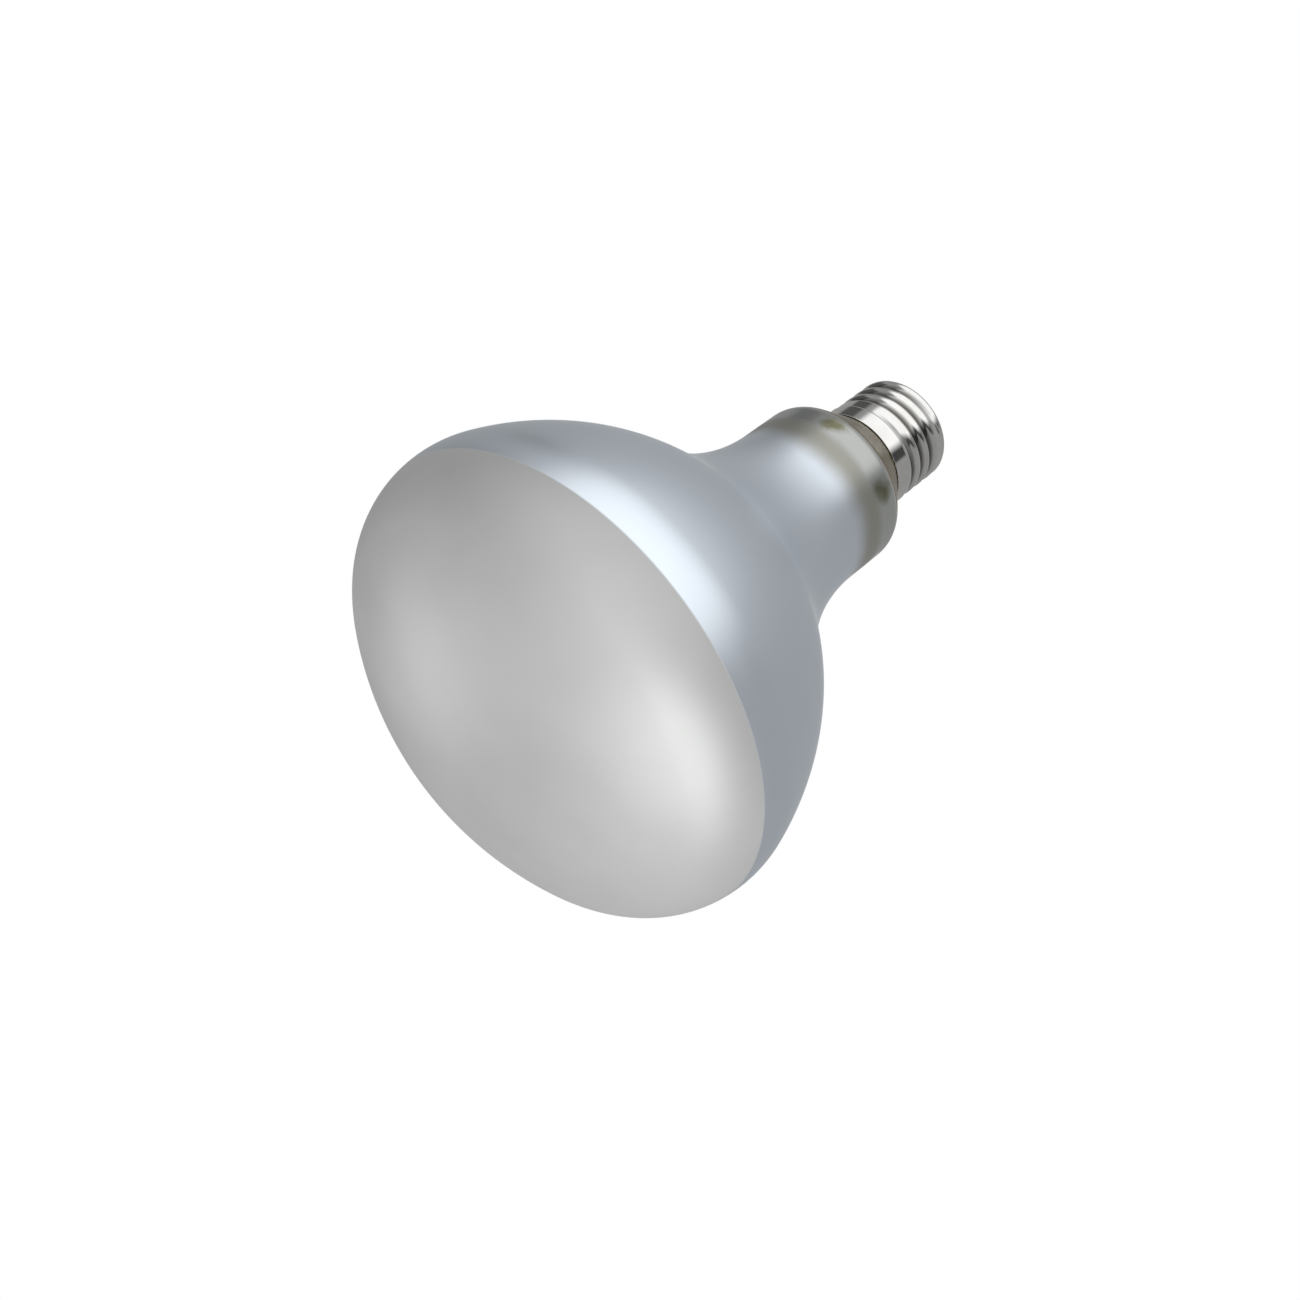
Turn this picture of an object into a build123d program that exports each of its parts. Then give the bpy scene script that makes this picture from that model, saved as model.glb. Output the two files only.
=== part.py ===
from build123d import *
import os
from math import acos, asin, atan2, cos, degrees, radians, sin, sqrt, tan

# Mercury vapour reflector lamp with a screw cap. The Z axis is the lamp's axis,
# and the origin is the middle of the domed face. All lengths are in millimetres
# and all angles in degrees.

# Bulb
bulb_diameter = 112.0
bulb_wall = 1.0
face_radius = 80.5
rim_radius = 22.1
rim_turn = 14.3
reflector_radius = 69.8
waist_radius = 53.3
neck_diameter = 40.6
neck_length = 10.4
shoulder_radius = 4.7
shoulder_slope = 36.0
throat_radius = 3.0
tail_diameter = 22.0
tail_length = 3.5

# Screw cap
cap_height = 19.85
skirt_diameter = 26.7
skirt_height = 4.4
thread_diameter = 26.32
root_diameter = 24.2
thread_pitch = 3.629
thread_turns = 3
thread_start = 6.45
crest_flat = 0.3
sheet = 0.3
curl_radius = 1.6
lip_diameter = 19.0
seat_gap = 0.15
fit_gap = 0.05
flat_count = 4

# Cap insulator, contact and solder
insulator_flange = 19.8
insulator_flange_height = 2.2
insulator_height = 4.0
insulator_tip = 11.6
contact_diameter = 10.6
contact_thickness = 0.9
contact_edge = 0.35
contact_hole = 2.8
solder_recess = 0.2
side_solder_diameter = 2.4
side_solder_height = 0.9

# Cement between the skirt and the shoulder
cement_height = 5.6
cement_step = 2.8

# Stem, seen from its rim on the tail's end down to its press
stem_diameter = 12.0
stem_wall = 1.0
stem_rim = 1.0
stem_length = 30.5
stem_floor = 14.5
press_width = 14.0
press_thickness = 4.6
press_height = 9.0
press_corner = 1.2
exhaust_diameter = 4.0
exhaust_bore = 2.4
exhaust_length = 19.0
pump_hole = 1.6

# Lead wires
lead_spacing = 7.4
lead_diameter = 1.0
lead_below_press = 9.0
lead_bend = 1.5

# Arc tube
arc_tube_drop = 12.0
arc_tube_diameter = 12.0
arc_tube_wall = 1.1
arc_body_height = 34.0
pinch_height = 11.0
pinch_width = 10.0
pinch_thickness = 3.6
pinch_corner = 0.8
pinch_root = 3.6

# Electrodes, foils and terminals
electrode_diameter = 0.8
electrode_reach = 4.4
winding_diameter = 2.2
winding_wire = 0.8
winding_turns = 4
main_offset = -1.4
probe_offset = 2.6
probe_diameter = 0.5
probe_reach = 3.0
foil_width = 2.2
foil_height = 5.5
foil_thickness = 0.2
foil_inset = 2.6
terminal_diameter = 0.9
terminal_length = 6.0

# Frame, straps, resistor and mercury
frame_offset = 11.0
frame_diameter = 1.6
frame_bend = 2.5
frame_below_press = 3.0
frame_below_tube = 4.0
strap_thickness = 0.35
strap_height = 4.0
strap_place = 5.0
strip_thickness = 0.3
strip_height = 3.0
resistor_diameter = 4.0
resistor_length = 12.0
resistor_cap = 1.4
resistor_cap_wall = 0.2
resistor_wire_run = 4.0
resistor_wire_bend = 1.0
resistor_wire = 0.6
resistor_offset = 4.0
mercury_diameter = 1.8
mercury_lean = 31.5

# Values worked out from the sizes above
bulb_r = bulb_diameter / 2
neck_r = neck_diameter / 2
tail_r = tail_diameter / 2
skirt_r = skirt_diameter / 2
root_r = root_diameter / 2
wave_r = thread_diameter / 2
face_turn = degrees(asin((bulb_r - rim_radius) / (face_radius - rim_radius)))
reflector_centre = bulb_r - rim_radius - (reflector_radius - rim_radius) * cos(radians(rim_turn))
waist_turn = degrees(acos((neck_r + waist_radius - reflector_centre) / (reflector_radius + waist_radius)))
rim_centre_z = face_radius - (face_radius - rim_radius) * cos(radians(face_turn))
reflector_centre_z = rim_centre_z - (reflector_radius - rim_radius) * sin(radians(rim_turn))
neck_bottom = reflector_centre_z + (reflector_radius + waist_radius) * sin(radians(waist_turn))
neck_top = neck_bottom + neck_length
slope = radians(shoulder_slope)
shoulder_end_r = neck_r - shoulder_radius * (1 - cos(slope))
shoulder_end_z = neck_top + shoulder_radius * sin(slope)
throat_start_r = tail_r + throat_radius * (1 - cos(slope))
taper_length = (shoulder_end_r - throat_start_r) / sin(slope)
throat_end_z = shoulder_end_z + taper_length * cos(slope) + throat_radius * sin(slope)
tail_top = throat_end_z + tail_length

# The thread's round crests and roots share one radius and touch halfway
wave_depth = wave_r - root_r
wave_radius = ((thread_pitch / 2) ** 2 + wave_depth**2) / (4 * wave_depth)
crest_centre = wave_r - wave_radius
root_centre = root_r + wave_radius
cap_r = crest_centre + sqrt(wave_radius**2 - (crest_flat / 2) ** 2)


def shoulder_z(r):
    """Height at which the tapered shoulder's outside has radius r."""
    return shoulder_end_z + (shoulder_end_r - r) / tan(slope)


cap_bottom = shoulder_z(skirt_r - sheet) + seat_gap
skirt_top = cap_bottom + skirt_height
cap_top = cap_bottom + cap_height
contact_bottom = cap_top + insulator_height
contact_top = contact_bottom + contact_thickness
press_bottom = tail_top - stem_length
floor_z = tail_top - stem_floor
lead_x = lead_spacing / 2
lead_r = lead_diameter / 2
tube_top = press_bottom - arc_tube_drop
body_top = tube_top - pinch_height
body_bottom = body_top - arc_body_height
tube_bottom = body_bottom - pinch_height
arc_r = arc_tube_diameter / 2
cavity_r = arc_r - arc_tube_wall
frame_r = frame_diameter / 2
frame_top = press_bottom - frame_below_press
frame_bottom = tube_bottom - frame_below_tube
terminal_r = terminal_diameter / 2
flange_top = cap_top - sheet
flange_bottom = flange_top - insulator_flange_height
collar_r = lip_diameter / 2 - fit_gap
cap_lead_x = lip_diameter / 2 + lead_diameter
lead_end = contact_top - 2 * solder_recess
side_lead_end = cap_top + side_solder_height / 2
resistor_top = tube_top - foil_inset
resistor_bottom = resistor_top - resistor_length


def finish(sub_part, name):
    """Label a finished piece and write it."""
    sub_part.part.label = name
    export_step(sub_part.part, f"parts/{name}.step")


def bar(x, y, diameter, low, high, mode=Mode.ADD):
    """A round bar, or a round hole, parallel to the lamp's axis."""
    with BuildSketch(Plane((x, y, low))) as section:
        Circle(diameter / 2)
    extrude(section.sketch, amount=high - low, mode=mode)


def slab(x, y, width, thickness, low, high, mode=Mode.ADD):
    """A straight-sided block, or slot, parallel to the lamp's axis."""
    with BuildSketch(Plane((x, y, low))) as section:
        Rectangle(width, thickness)
    extrude(section.sketch, amount=high - low, mode=mode)


def bent_wire(points, diameter, bend):
    """A round wire along straight runs joined by bends."""
    with BuildLine() as path:
        FilletPolyline(*points, radius=bend)
    with BuildSketch(Plane(origin=path.line @ 0, z_dir=path.line % 0)) as section:
        Circle(diameter / 2)
    sweep(section.sketch, path=path.line)


def rounded(centre, radius, start, end, count):
    """Corners on an arc from angle start to angle end, for a small turn made of flats."""
    turns = [radians(start + (end - start) * step / count) for step in range(count + 1)]
    return [(centre[0] + radius * cos(turn), centre[1] + radius * sin(turn)) for turn in turns]


def bulb_outline(inset):
    """Half of the bulb's section from the axis to the tail's end, inset from the outside."""
    face = JernArc((0, inset), (1, 0), face_radius - inset, face_turn)
    rim = JernArc(face @ 1, face % 1, rim_radius - inset, 90 - face_turn + rim_turn)
    back = JernArc(rim @ 1, rim % 1, reflector_radius - inset, waist_turn - rim_turn)
    waist = JernArc(back @ 1, back % 1, waist_radius + inset, -waist_turn)
    neck = Line(waist @ 1, (neck_r - inset, neck_top))
    shoulder = JernArc(neck @ 1, neck % 1, shoulder_radius - inset, shoulder_slope)
    taper = Line(shoulder @ 1, (shoulder @ 1) + (shoulder % 1) * taper_length)
    throat = JernArc(taper @ 1, taper % 1, throat_radius + inset, -shoulder_slope)
    Line(throat @ 1, (tail_r - inset, tail_top))


def rolled_form(inset):
    """The cap as a solid with its helical valley, inset from the outside by the sheet or by nothing."""
    radius = cap_r - inset

    # The step from the skirt to the thread leans at 45 degrees, so an inset lowers its corners
    shift = inset * tan(radians(45 / 2))
    curl_centre = (cap_r - curl_radius, cap_top - curl_radius)
    with BuildSketch(Plane.XZ) as outline:
        Polygon(
            (0, cap_bottom - inset),
            (skirt_r - inset, cap_bottom - inset),
            (skirt_r - inset, skirt_top - shift),
            (radius, skirt_top - shift + skirt_r - cap_r),
            *rounded(curl_centre, curl_radius - inset, 0, 90, flat_count),
            (0, cap_top - inset),
            align=None,
        )
    revolve(outline.sketch, axis=Axis.Z)

    # Section of the valley, with x as the radius: flats whose corners lie on the round wave
    start = cap_bottom + thread_start
    half = thread_pitch / 2
    touch = atan2(half, root_centre - crest_centre)
    edge = acos((radius - crest_centre) / (wave_radius - inset))
    crest_side = [
        (crest_centre + (wave_radius - inset) * cos(turn), half - (wave_radius - inset) * sin(turn))
        for turn in (edge, touch)
    ]
    root_turn = touch / 3
    root_corner = (
        root_centre - (wave_radius + inset) * cos(root_turn),
        (wave_radius + inset) * sin(root_turn),
    )
    upper = [(cap_r + wave_depth, crest_side[0][1]), *crest_side, root_corner]
    lower = [(x, -y) for x, y in reversed(upper)]
    with BuildLine() as valley:
        Helix(thread_pitch, thread_turns * thread_pitch, cap_r, center=(0, 0, start))
    with BuildSketch(Plane((0, 0, start), x_dir=(1, 0, 0), z_dir=valley.line % 0)) as section:
        Polygon(*upper, *lower, align=None)
    sweep(section.sketch, path=valley.line, is_frenet=True, mode=Mode.SUBTRACT)

    # The valley runs straight on at each end until it leaves the round wall
    run_out = sqrt(cap_r**2 - root_r**2) + wave_depth
    climb = Location((0, 0, thread_turns * thread_pitch))
    extrude(section.sketch, amount=-run_out, mode=Mode.SUBTRACT)
    extrude(section.sketch.moved(climb), amount=run_out, mode=Mode.SUBTRACT)


os.makedirs("parts", exist_ok=True)

# Blown bulb, open at the tail's end where the stem is sealed in
with BuildPart() as bulb_envelope:
    with BuildSketch(Plane.XZ):
        with BuildLine():
            bulb_outline(0)
            bulb_outline(bulb_wall)
            Line((0, 0), (0, bulb_wall))
            Line((tail_r, tail_top), (tail_r - bulb_wall, tail_top))
        make_face()
    revolve(axis=Axis.Z)
finish(bulb_envelope, "bulb_envelope")

# Screw cap, rolled from sheet, so its inside follows its outside
with BuildPart() as cap_inside:
    rolled_form(sheet)

with BuildPart() as screw_shell:
    rolled_form(0)
    add(cap_inside.part, mode=Mode.SUBTRACT)
    bar(0, 0, lip_diameter, cap_top - curl_radius, cap_top + sheet, Mode.SUBTRACT)
    bar(cap_lead_x, 0, lead_diameter + 2 * fit_gap, cap_top - curl_radius, cap_top + sheet, Mode.SUBTRACT)
finish(screw_shell, "screw_shell")

# Glass insulator, held by the shell's lip, with a hole for the contact's lead
with BuildPart() as cap_insulator:
    with BuildSketch(Plane.XZ):
        with BuildLine():
            Polyline(
                (0, flange_bottom),
                (insulator_flange / 2, flange_bottom),
                (insulator_flange / 2, flange_top),
                (collar_r, flange_top),
                (collar_r, cap_top),
                (insulator_tip / 2, contact_bottom),
                (0, contact_bottom),
                close=True,
            )
        make_face()
    revolve(axis=Axis.Z)
    bar(0, 0, lead_diameter + 2 * fit_gap, flange_bottom, contact_bottom, Mode.SUBTRACT)
finish(cap_insulator, "cap_insulator")

# Centre contact, a plate with a softened edge and a hole that the solder fills
with BuildPart() as centre_contact:
    bar(0, 0, contact_diameter, contact_bottom, contact_top)
    chamfer(centre_contact.edges().group_by(Axis.Z)[-1], length=contact_edge)
    bar(0, 0, contact_hole, contact_bottom, contact_top, Mode.SUBTRACT)
finish(centre_contact, "centre_contact")

with BuildPart() as centre_solder:
    bar(0, 0, contact_hole - 2 * fit_gap, contact_bottom, contact_top - solder_recess)
    bar(0, 0, lead_diameter + 2 * fit_gap, contact_bottom, lead_end + fit_gap, Mode.SUBTRACT)
finish(centre_solder, "centre_solder")

# Solder bead over the end of the other lead, on the shell's lip
with BuildPart() as side_solder:
    bead_r = ((side_solder_diameter / 2) ** 2 + side_solder_height**2) / (2 * side_solder_height)
    with Locations((cap_lead_x, 0, cap_top + side_solder_height - bead_r)):
        Sphere(bead_r)
    split(bisect_by=Plane.XY.offset(cap_top), keep=Keep.TOP)
    bar(cap_lead_x, 0, lead_diameter + 2 * fit_gap, cap_top, side_lead_end + fit_gap, Mode.SUBTRACT)
finish(side_solder, "side_solder")

# Cement between the skirt and the tapered shoulder, clear of the thread's first valley
with BuildPart() as basing_cement:
    outer = skirt_r - sheet - fit_gap
    inner_face = root_r - sheet - fit_gap
    low_z = shoulder_z(outer) + fit_gap / sin(slope)
    with BuildSketch(Plane.XZ):
        with BuildLine():
            Polyline(
                (0, low_z),
                (outer, low_z),
                (outer, cap_bottom + cement_step),
                (inner_face, cap_bottom + cement_step + outer - inner_face),
                (inner_face, cap_bottom + cement_height),
                (0, cap_bottom + cement_height),
                close=True,
            )
        make_face()
        with BuildLine():
            bulb_outline(-fit_gap)
            Polyline((0, -fit_gap), (0, tail_top), (tail_r + fit_gap, tail_top))
        make_face(mode=Mode.SUBTRACT)
    revolve(axis=Axis.Z)
finish(basing_cement, "basing_cement")

# Stem: a flared tube whose rim is sealed to the tail's end, pressed flat round the leads
with BuildPart() as stem:
    tube_r = stem_diameter / 2
    bore_r = tube_r - stem_wall
    flare = tail_r - bulb_wall - tube_r
    flare_centre = (tube_r + flare, tail_top - flare)
    with BuildSketch(Plane.XZ):
        Polygon(
            (0, floor_z - stem_wall),
            (tube_r, floor_z - stem_wall),
            *rounded(flare_centre, flare, 180, 90, flat_count),
            (tail_r, tail_top),
            (tail_r, tail_top + stem_rim),
            *rounded(flare_centre, flare + stem_wall, 90, 180, flat_count),
            (bore_r, floor_z),
            (0, floor_z),
            align=None,
        )
    revolve(axis=Axis.Z)
    with BuildSketch(Plane.XY.offset(floor_z - stem_wall)):
        Circle(tube_r)
    with BuildSketch(Plane.XY.offset(press_bottom + press_height)):
        RectangleRounded(press_width, press_thickness, press_corner)
    loft()
    with BuildSketch(Plane.XY.offset(press_bottom)):
        RectangleRounded(press_width, press_thickness, press_corner)
    extrude(amount=press_height)
    for side in (-1, 1):
        bar(side * lead_x, 0, lead_diameter + 2 * fit_gap, press_bottom, floor_z, Mode.SUBTRACT)
    bar(0, 0, pump_hole, press_bottom + press_height, floor_z, Mode.SUBTRACT)
    with BuildSketch(Plane.XZ.offset(-stem_diameter)):
        with Locations((0, press_bottom + press_height)):
            Circle(pump_hole / 2)
    extrude(amount=2 * stem_diameter, mode=Mode.SUBTRACT)
finish(stem, "stem")

# Exhaust tube, standing on the stem's floor and tipped off inside the cap
with BuildPart() as exhaust_tube:
    exhaust_wall = (exhaust_diameter - exhaust_bore) / 2
    exhaust_top = floor_z + exhaust_length
    bar(0, 0, exhaust_diameter, floor_z, exhaust_top)
    fillet(exhaust_tube.edges().group_by(Axis.Z)[-1], radius=exhaust_wall)
    bar(0, 0, exhaust_bore, floor_z, exhaust_top - exhaust_wall, Mode.SUBTRACT)
finish(exhaust_tube, "exhaust_tube")

# Lead wires through the press to the centre contact and to the shell's lip
with BuildPart() as contact_lead:
    bent_wire(
        [
            (-lead_x, 0, press_bottom - lead_below_press),
            (-lead_x, 0, exhaust_top),
            (0, 0, exhaust_top + lead_x),
            (0, 0, lead_end),
        ],
        lead_diameter,
        lead_bend,
    )
finish(contact_lead, "contact_lead")

with BuildPart() as shell_lead:
    bent_wire(
        [
            (lead_x, 0, press_bottom - lead_below_press),
            (lead_x, 0, tail_top + stem_rim),
            (cap_lead_x, 0, tail_top + stem_rim + cap_lead_x - lead_x),
            (cap_lead_x, 0, side_lead_end),
        ],
        lead_diameter,
        lead_bend,
    )
finish(shell_lead, "shell_lead")

# Frame wire that carries the arc tube, from the shell's lead down past its face end
with BuildPart() as support_frame:
    bent_wire(
        [
            (lead_x + lead_r + fit_gap, 0, frame_top),
            (frame_offset, 0, frame_top),
            (frame_offset, 0, frame_bottom),
            (terminal_r + fit_gap, 0, frame_bottom),
        ],
        frame_diameter,
        frame_bend,
    )
finish(support_frame, "support_frame")

# Ribbon that joins the contact's lead to the arc tube's upper terminal
with BuildPart() as feed_strip:
    strip_low = press_bottom - lead_below_press
    strip_y = lead_r + fit_gap + strip_thickness / 2
    strip_width = lead_x + main_offset + 2 * lead_r
    slab(
        (main_offset - lead_x) / 2,
        strip_y,
        strip_width,
        strip_thickness,
        strip_low,
        strip_low + strip_height,
    )
finish(feed_strip, "feed_strip")


def capsule(radius, low, high, mode=Mode.ADD):
    """A round-ended bar on the axis."""
    with BuildSketch(Plane.XZ) as outline:
        with BuildLine():
            lower = CenterArc((0, low + radius), radius, -90, 90)
            side = Line(lower @ 1, (radius, high - radius))
            CenterArc((0, high - radius), radius, 0, 90)
            Line((0, high), lower @ 0)
        make_face()
    revolve(outline.sketch, axis=Axis.Z, mode=mode)


def seal_spans(inner, way):
    """Heights of the foil in a pinch that starts at height inner: its near end and its far end."""
    near = inner + way * foil_inset
    return near, near + way * foil_height


def run(x, diameter, start, end, mode=Mode.ADD):
    """A bar between two heights given in either order."""
    bar(x, 0, diameter, min(start, end), max(start, end), mode)


def seal_cut(x, rod_diameter, inner, way):
    """Room in a pinch for a rod from the cavity, its foil and its terminal."""
    near, far = seal_spans(inner, way)
    run(x, rod_diameter + 2 * fit_gap, inner - way * arc_r, near, Mode.SUBTRACT)
    run(x, terminal_diameter + 2 * fit_gap, far, inner + way * pinch_height, Mode.SUBTRACT)
    low = min(near, far)
    high = max(near, far)
    slab(x, 0, foil_width + 2 * fit_gap, foil_thickness + 2 * fit_gap, low, high, Mode.SUBTRACT)


# Arc tube: a domed quartz tube with a flat pinch at each end
with BuildPart() as arc_tube:
    capsule(arc_r, body_bottom, body_top)
    for inner, way in ((body_top, 1), (body_bottom, -1)):
        with BuildSketch(Plane.XY.offset(inner - way * pinch_root)):
            RectangleRounded(pinch_width, pinch_thickness, pinch_corner)
        extrude(amount=way * (pinch_height + pinch_root))
    capsule(cavity_r, body_bottom + arc_tube_wall, body_top - arc_tube_wall, Mode.SUBTRACT)
    seal_cut(main_offset, electrode_diameter, body_top, 1)
    seal_cut(probe_offset, probe_diameter, body_top, 1)
    seal_cut(0, electrode_diameter, body_bottom, -1)
finish(arc_tube, "arc_tube")


def electrode(x, inner, way):
    """A main electrode: a rod from its foil into the cavity, wound with thick wire near its tip."""
    root = seal_spans(inner, way)[0]
    tip = inner - way * (arc_tube_wall + electrode_reach)
    rod = electrode_diameter / 2
    wire = winding_wire / 2
    with BuildSketch(Plane((x, 0, 0), x_dir=(1, 0, 0), z_dir=(0, -1, 0))) as outline:
        with Locations((rod / 2, (root + tip) / 2)):
            Rectangle(rod, abs(root - tip))
        for turn in range(winding_turns):
            with Locations((winding_diameter / 2 - wire, tip + way * (1 + 2 * turn) * wire)):
                RegularPolygon(wire, 6)
    revolve(outline.sketch, axis=Axis((x, 0, 0), (0, 0, 1)))


with BuildPart() as electrode_cap_end:
    electrode(main_offset, body_top, 1)
finish(electrode_cap_end, "electrode_cap_end")

with BuildPart() as electrode_face_end:
    electrode(0, body_bottom, -1)
finish(electrode_face_end, "electrode_face_end")

# Thin probe that strikes the first glow beside the main electrode
with BuildPart() as starting_electrode:
    probe_tip = body_top - arc_tube_wall - probe_reach
    run(probe_offset, probe_diameter, probe_tip, seal_spans(body_top, 1)[0])
finish(starting_electrode, "starting_electrode")

# Foils that carry the current through the pinches, and the wires beyond them
seals = (
    ("cap_end", main_offset, body_top, 1),
    ("starting", probe_offset, body_top, 1),
    ("face_end", 0, body_bottom, -1),
)
for name, x, inner, way in seals:
    near, far = seal_spans(inner, way)
    with BuildPart() as foil:
        slab(x, 0, foil_width, foil_thickness, min(near, far), max(near, far))
    finish(foil, f"foil_{name}")
    with BuildPart() as terminal:
        run(x, terminal_diameter, far, inner + way * (pinch_height + terminal_length))
    finish(terminal, f"terminal_{name}")

# Straps: a band round each pinch, drawn to an eye round the frame wire
for name, middle in (("cap_end", body_top + strap_place), ("face_end", body_bottom - strap_place)):
    with BuildPart() as strap:
        with BuildSketch(Plane.XY.offset(middle - strap_height / 2)):
            gap = 2 * fit_gap
            wrap = gap + 2 * strap_thickness
            RectangleRounded(pinch_width + wrap, pinch_thickness + wrap, pinch_corner + wrap / 2)
            with Locations(((frame_offset + pinch_width / 2) / 2, 0)):
                Rectangle(frame_offset - pinch_width / 2, 2 * strap_thickness)
            with Locations((frame_offset, 0)):
                Circle((frame_diameter + wrap) / 2)
                Circle((frame_diameter + gap) / 2, mode=Mode.SUBTRACT)
            RectangleRounded(
                pinch_width + gap,
                pinch_thickness + gap,
                pinch_corner + gap / 2,
                mode=Mode.SUBTRACT,
            )
        extrude(amount=strap_height)
    finish(strap, f"strap_{name}")

# Resistor of the starting electrode: a ceramic rod with a cup and a wire at each end
with BuildPart() as starting_resistor:
    bar(frame_offset, resistor_offset, resistor_diameter, resistor_bottom, resistor_top)
finish(starting_resistor, "starting_resistor")


def resistor_cup(end, way):
    """A thin cup over the resistor's end at height end."""
    cup_r = resistor_diameter / 2 + fit_gap + resistor_cap_wall
    rim = end - way * resistor_cap
    back = end + way * (fit_gap + resistor_cap_wall)
    floor = end + way * fit_gap
    bar(frame_offset, resistor_offset, 2 * cup_r, min(rim, back), max(rim, back))
    bore = 2 * (cup_r - resistor_cap_wall)
    bar(frame_offset, resistor_offset, bore, min(rim, floor), max(rim, floor), Mode.SUBTRACT)
    return back


with BuildPart() as resistor_lead_top:
    back = resistor_cup(resistor_top, 1)
    across_z = tube_top + resistor_wire_run
    bent_wire(
        [
            (frame_offset, resistor_offset, back),
            (frame_offset, resistor_offset, across_z),
            (probe_offset, resistor_offset, across_z),
            (probe_offset, terminal_r + fit_gap, across_z),
        ],
        resistor_wire,
        resistor_wire_bend,
    )
finish(resistor_lead_top, "resistor_lead_top")

with BuildPart() as resistor_lead_frame:
    back = resistor_cup(resistor_bottom, -1)
    bent_wire(
        [
            (frame_offset, resistor_offset, back),
            (frame_offset, resistor_offset, back - resistor_wire_run),
            (frame_offset, frame_r + fit_gap, back - resistor_wire_run),
        ],
        resistor_wire,
        resistor_wire_bend,
    )
finish(resistor_lead_frame, "resistor_lead_frame")

# Mercury, condensed in the arc tube's lower end against the electrode
with BuildPart() as mercury_drop:
    reach = cavity_r - mercury_diameter / 2 - fit_gap
    lean = radians(mercury_lean)
    with Locations((reach * sin(lean), 0, body_bottom + arc_r - reach * cos(lean))):
        Sphere(mercury_diameter / 2)
finish(mercury_drop, "mercury_drop")
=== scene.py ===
"""A mercury vapour reflector lamp, dressed as an add-on that draws its glass, cap and finishes."""

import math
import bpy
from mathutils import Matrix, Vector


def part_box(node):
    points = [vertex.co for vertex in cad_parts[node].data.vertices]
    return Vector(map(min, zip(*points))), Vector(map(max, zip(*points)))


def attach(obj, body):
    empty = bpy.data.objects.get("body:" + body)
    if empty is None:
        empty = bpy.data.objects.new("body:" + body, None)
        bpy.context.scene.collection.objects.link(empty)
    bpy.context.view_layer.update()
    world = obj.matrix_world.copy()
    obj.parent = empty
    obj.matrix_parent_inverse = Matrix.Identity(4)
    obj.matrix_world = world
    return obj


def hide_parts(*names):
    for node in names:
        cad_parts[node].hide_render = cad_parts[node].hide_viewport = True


bl_info = {
    "name": "Mercury Vapour Reflector Lamp",
    "version": (1, 0, 0),
    "blender": (4, 5, 0),
    "location": "View3D > Sidebar > Lamp",
    "description": "Draws a silvered reflector lamp with its screw cap, stage and light",
    "category": "Object",
}

import bmesh
import bpy
import numpy as np
from mathutils import Matrix, Vector

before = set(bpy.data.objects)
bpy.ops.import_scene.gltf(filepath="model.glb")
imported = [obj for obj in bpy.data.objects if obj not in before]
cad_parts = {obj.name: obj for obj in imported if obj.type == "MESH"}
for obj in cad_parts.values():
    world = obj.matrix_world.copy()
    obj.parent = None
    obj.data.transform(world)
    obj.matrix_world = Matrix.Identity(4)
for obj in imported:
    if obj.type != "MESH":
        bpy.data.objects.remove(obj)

MM = 0.001

# Points round the axis in the drawn pieces
BULB_AROUND = 192
CAP_AROUND = 288
FLOOR_AROUND = 96

BULB_LOW, BULB_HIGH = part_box("bulb_envelope")
SHELL_LOW, SHELL_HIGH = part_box("screw_shell")


def length(name, words, metres):
    """A length in metres, shown in the panel with its unit."""
    return bpy.props.FloatProperty(
        name=name,
        description=words,
        default=metres,
        min=0.0,
        unit="LENGTH",
        precision=4,
    )


def angle(name, words, degrees):
    """An angle, given in degrees and kept in radians as Blender does."""
    return bpy.props.FloatProperty(
        name=name,
        description=words,
        default=math.radians(degrees),
        unit="ROTATION",
    )


def colour(name, words, rgb):
    """A plain colour in linear light."""
    return bpy.props.FloatVectorProperty(
        name=name,
        description=words,
        default=rgb,
        subtype="COLOR",
        min=0.0,
        max=1.0,
    )


class LampBulbSizes(bpy.types.PropertyGroup):
    """The blown bulb's outline, as tangent arcs from the face to the tail."""

    radius: length("Bulb radius", "Widest radius of the bulb", BULB_HIGH[0])
    wall: length("Wall", "Thickness of the glass", 1.0 * MM)
    face_radius: length("Face radius", "Radius of the domed face's arc", 80.5 * MM)
    rim_radius: length("Rim radius", "Radius of the arc round the widest place", 22.1 * MM)
    rim_turn: angle("Rim turn", "How far the rim's arc turns past the widest place", 14.3)
    back_radius: length("Reflector radius", "Radius of the reflector's arc", 69.8 * MM)
    waist_radius: length("Waist radius", "Radius of the hollow arc into the neck", 53.3 * MM)
    neck_radius: length("Neck radius", "Outside radius of the neck", 20.3 * MM)
    neck_top: length("Neck top", "Height at which the neck turns in", 119.72 * MM)
    shoulder_radius: length("Shoulder radius", "Radius of the shoulder's tight corner", 4.7 * MM)
    shoulder_slope: angle("Shoulder slope", "Lean of the shoulder's taper", 36.0)
    throat_radius: length("Throat radius", "Radius of the arc from the taper to the tail", 3.0 * MM)
    tail_radius: length("Tail radius", "Outside radius of the tail inside the cap", 11.0 * MM)
    tail_top: length("Tail top", "Height at which the tail ends", BULB_HIGH[2])


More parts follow.
